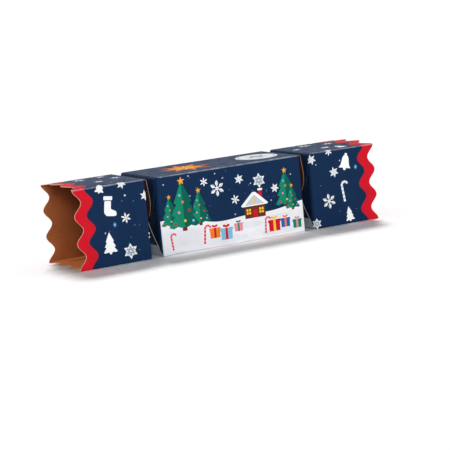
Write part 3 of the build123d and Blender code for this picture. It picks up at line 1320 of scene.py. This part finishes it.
def snowfall():
    """Falling snow, scattered over the night sky."""
    draw = random.Random(SKY_SEED)
    dots = []
    for _ in range(SKY_DOTS):
        x = draw.uniform(-SKY_REACH, SKY_REACH)
        y = draw.uniform(ground_line(x * MM) / MM + SKY_CLEAR, SKY_TOP)
        size = draw.choice(DOT_SIZES)
        if all(math.hypot(x - flake[1], y - flake[2]) > flake[3] / 2 + SKY_CLEAR for flake in SCENE_FLAKES):
            dots.append(("speck" if size > 1 else "mote", x, y, size))
    return laid_out(dots, UNDER_LEVEL)


def print_centre(side, prints):
    """Named prints on a side of the centre box."""
    for name, motifs in prints.items():
        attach(print_piece(f"centre_{side}_{name}", side, motifs), "centre")


class CRACKER_OT_winter_scene(bpy.types.Operator):
    """Print the firs, the cottage, the drifts and the snowy sky on the front and back of the centre box"""

    bl_idname = "cracker.winter_scene"
    bl_label = "Winter scene"

    def execute(self, context):
        for side in SCENIC_SIDES:
            prints = {
                "drifts": [(drift, placed(*spot, level=UNDER_LEVEL)) for spot in SCENE_DRIFTS],
                "firs": [(dressed_fir, placed(*spot, level=level)) for *spot, level in SCENE_FIRS],
                "cottage": [(cottage, placed(*COTTAGE))],
                "flakes": laid_out(SCENE_FLAKES),
                "snowfall": snowfall(),
            }
            print_centre(side, prints)
        return {"FINISHED"}


class CRACKER_OT_gifts(bpy.types.Operator):
    """Print the gifts and candy canes on the front and back of the centre box"""

    bl_idname = "cracker.gifts"
    bl_label = "Gifts and canes"

    def execute(self, context):
        canes = [(cane, placed(*spot, GIFT_LEVEL), "red", "pink") for spot in SCENE_CANES]
        gifts = [(gift, placed(*spot, level=GIFT_LEVEL), *inks) for spot, inks in SCENE_GIFTS]
        for side in SCENIC_SIDES:
            print_centre(side, {"gifts": gifts, "canes": canes})
        return {"FINISHED"}


class CRACKER_OT_top_ornaments(bpy.types.Operator):
    """Print the gold star and the white roundel on top of the centre box, and the lights underneath"""

    bl_idname = "cracker.top_ornaments"
    bl_label = "Top ornaments"

    def execute(self, context):
        star = [(double_star, placed(*TOP_STAR))]
        print_centre("top", {"star": star, "roundel": [(roundel, placed(*TOP_ROUNDEL))]})
        print_centre("bottom", {"lights": laid_out(CENTRE_BOTTOM)})
        return {"FINISHED"}


class CRACKER_OT_stage(bpy.types.Operator):
    """Make the camera, the lights, the floor and the white surroundings"""

    bl_idname = "cracker.stage"
    bl_label = "Camera and light"

    def execute(self, context):
        make_camera(context.scene)
        make_lights(context.scene, make_floor(context.scene))
        make_surroundings(context.scene)
        context.scene.view_settings.view_transform = "Standard"
        return {"FINISHED"}


def make_camera(scene):
    """Camera at the photograph's angle."""
    view = scene.cracker_stage
    level = math.cos(view.elevation)
    x = math.sin(view.azimuth) * level
    y = -math.cos(view.azimuth) * level
    back = Vector((x, y, math.sin(view.elevation)))
    turn = Matrix.Rotation(view.roll, 3, back)
    level_right = (-back).cross(Vector((0, 0, 1))).normalized()
    right = turn @ level_right
    up = turn @ level_right.cross(-back)
    lens = bpy.data.cameras.new("view")
    lens.lens = view.lens
    camera = bpy.data.objects.new("view", lens)
    place = Vector((0, 0, AXIS_HEIGHT)) + back * view.distance + view.aim_right * right + view.aim_up * up
    turned = Matrix((right, up, back)).transposed().to_4x4()
    camera.matrix_world = Matrix.Translation(place) @ turned
    scene.collection.objects.link(camera)
    scene.camera = camera


FLOOR_SIZE = 60.0
FLOOR_SHADE = 0.93
FLOOR_ROUGHNESS = 0.9


def seen_rays(tree):
    """One for rays that show the surroundings, straight or in gloss or glass, and zero for others."""
    rays = tree.nodes.new("ShaderNodeLightPath").outputs
    seen = math_node(tree, "MAXIMUM", rays["Is Camera Ray"], rays["Is Glossy Ray"])
    return math_node(tree, "MAXIMUM", seen, rays["Is Transmission Ray"])


def make_floor(scene):
    """Pale floor, which keeps the shadow and is brought up to white for the camera."""
    bm = bmesh.new()
    bmesh.ops.create_grid(bm, x_segments=1, y_segments=1, size=FLOOR_SIZE / 2)
    mesh = bpy.data.meshes.new("floor")
    bm.to_mesh(mesh)
    bm.free()
    floor = bpy.data.objects.new("floor", mesh)
    scene.collection.objects.link(floor)
    material, shader = new_material("pale_floor")
    shader.inputs["Roughness"].default_value = FLOOR_ROUGHNESS
    shader.inputs["Specular IOR Level"].default_value = 0.0
    tree = material.node_tree
    shade = spread(tree, seen_rays(tree), FLOOR_SHADE, scene.cracker_stage.floor_white, 0, 1)
    tree.links.new(shade, shader.inputs["Base Color"])
    mesh.materials.append(material)
    return floor


BACK_LIGHT = (0.36, 0.96, 1.49)  # opposite the camera, so that the shadow falls towards it
BACK_SPREAD = math.radians(16)
FRONT_LIGHT = (-0.45, -2.75, 1.15)
FRONT_WIDTH = 2.2
FRONT_HEIGHT = 1.4
MOUTH_LIGHT = (0.86, -0.05, 0.77)  # at the right end, and mirrored at the left
MOUTH_SIZE = 0.25
INSIDE_PIECES = (
    "tail_back_panel",
    "tail_bottom_panel",
    "tail_glue_flap",
    "tail_front_dust_flap",
    "tail_back_dust_flap",
    "neck_top_outer_flap",
    "neck_bottom_outer_flap",
)


def add_light(scene, name, kind, power, place, aim, receivers=None):
    """Light at a place, turned to an aim, which only some pieces may receive."""
    lamp = bpy.data.lights.new(name, kind)
    lamp.energy = power
    light = bpy.data.objects.new(name, lamp)
    way = Vector(aim) - Vector(place)
    light.matrix_world = Matrix.Translation(place) @ way.to_track_quat("-Z", "Y").to_matrix().to_4x4()
    light.visible_glossy = False
    light.visible_camera = False
    light.light_linking.receiver_collection = receivers
    scene.collection.objects.link(light)
    return light


def make_lights(scene, floor):
    """Light from behind, a soft fill that spares the floor's shadow, and a little into each open end."""
    stage = scene.cracker_stage
    middle = (0, 0, AXIS_HEIGHT)
    back = add_light(scene, "back_light", "SUN", stage.key_strength, BACK_LIGHT, middle)
    back.data.angle = BACK_SPREAD
    spared = bpy.data.collections.new("spared_by_fill")
    spared.objects.link(floor)
    spared.collection_objects[0].light_linking.link_state = "EXCLUDE"
    front = add_light(scene, "front_light", "AREA", stage.fill_power, FRONT_LIGHT, middle, spared)
    front.visible_glossy = True
    front.data.shape = "RECTANGLE"
    front.data.size = FRONT_WIDTH
    front.data.size_y = FRONT_HEIGHT
    for end, way in ENDS.items():
        inside = bpy.data.collections.new(f"inside_{end}_tail")
        for node in INSIDE_PIECES:
            inside.objects.link(bpy.data.objects[f"{end}_{node}_card"])
        place = (way * MOUTH_LIGHT[0], *MOUTH_LIGHT[1:])
        aim = (way * TAIL_END, 0, AXIS_HEIGHT)
        mouth = add_light(scene, f"{end}_mouth_light", "AREA", stage.mouth_power, place, aim, inside)
        mouth.data.size = MOUTH_SIZE


def make_surroundings(scene):
    """Even light from all round, which the camera sees as white."""
    world = bpy.data.worlds.new("surroundings")
    world.use_nodes = True
    scene.world = world
    tree = world.node_tree
    background = tree.nodes["Background"]
    background.inputs["Color"].default_value = PLAIN_WHITE
    strength = spread(tree, seen_rays(tree), scene.cracker_stage.sky, 1.0, 0, 1)
    tree.links.new(strength, background.inputs["Strength"])


STEPS = (
    CRACKER_OT_panels,
    CRACKER_OT_neck_flaps,
    CRACKER_OT_dust_flaps,
    CRACKER_OT_glue_flaps,
    CRACKER_OT_snowflakes,
    CRACKER_OT_pale_motifs,
    CRACKER_OT_winter_scene,
    CRACKER_OT_gifts,
    CRACKER_OT_top_ornaments,
    CRACKER_OT_stage,
)


class CRACKER_PT_sidebar(bpy.types.Panel):
    """Lists the steps that build the cracker, and its sizes and colours"""

    bl_idname = "CRACKER_PT_sidebar"
    bl_label = "Cracker"
    bl_space_type = "VIEW_3D"
    bl_region_type = "UI"
    bl_category = "Cracker"

    def draw(self, context):
        for step in STEPS:
            self.layout.operator(step.bl_idname)
        for setting in SETTINGS:
            group = getattr(context.scene, setting)
            box = self.layout.box()
            for name in group.__annotations__:
                box.prop(group, name)


SETTINGS = {"cracker_card": CrackerCard, "cracker_colours": CrackerColours, "cracker_stage": CrackerStage}
CLASSES = (*SETTINGS.values(), *STEPS, CRACKER_PT_sidebar)


def register():
    for part in CLASSES:
        bpy.utils.register_class(part)
    for setting, group in SETTINGS.items():
        setattr(bpy.types.Scene, setting, PointerProperty(type=group))


def unregister():
    for setting in SETTINGS:
        delattr(bpy.types.Scene, setting)
    for part in reversed(CLASSES):
        bpy.utils.unregister_class(part)


def main():
    register()
    for step in STEPS:
        group, name = step.bl_idname.split(".")
        getattr(getattr(bpy.ops, group), name)()


if __name__ == "__main__":
    main()
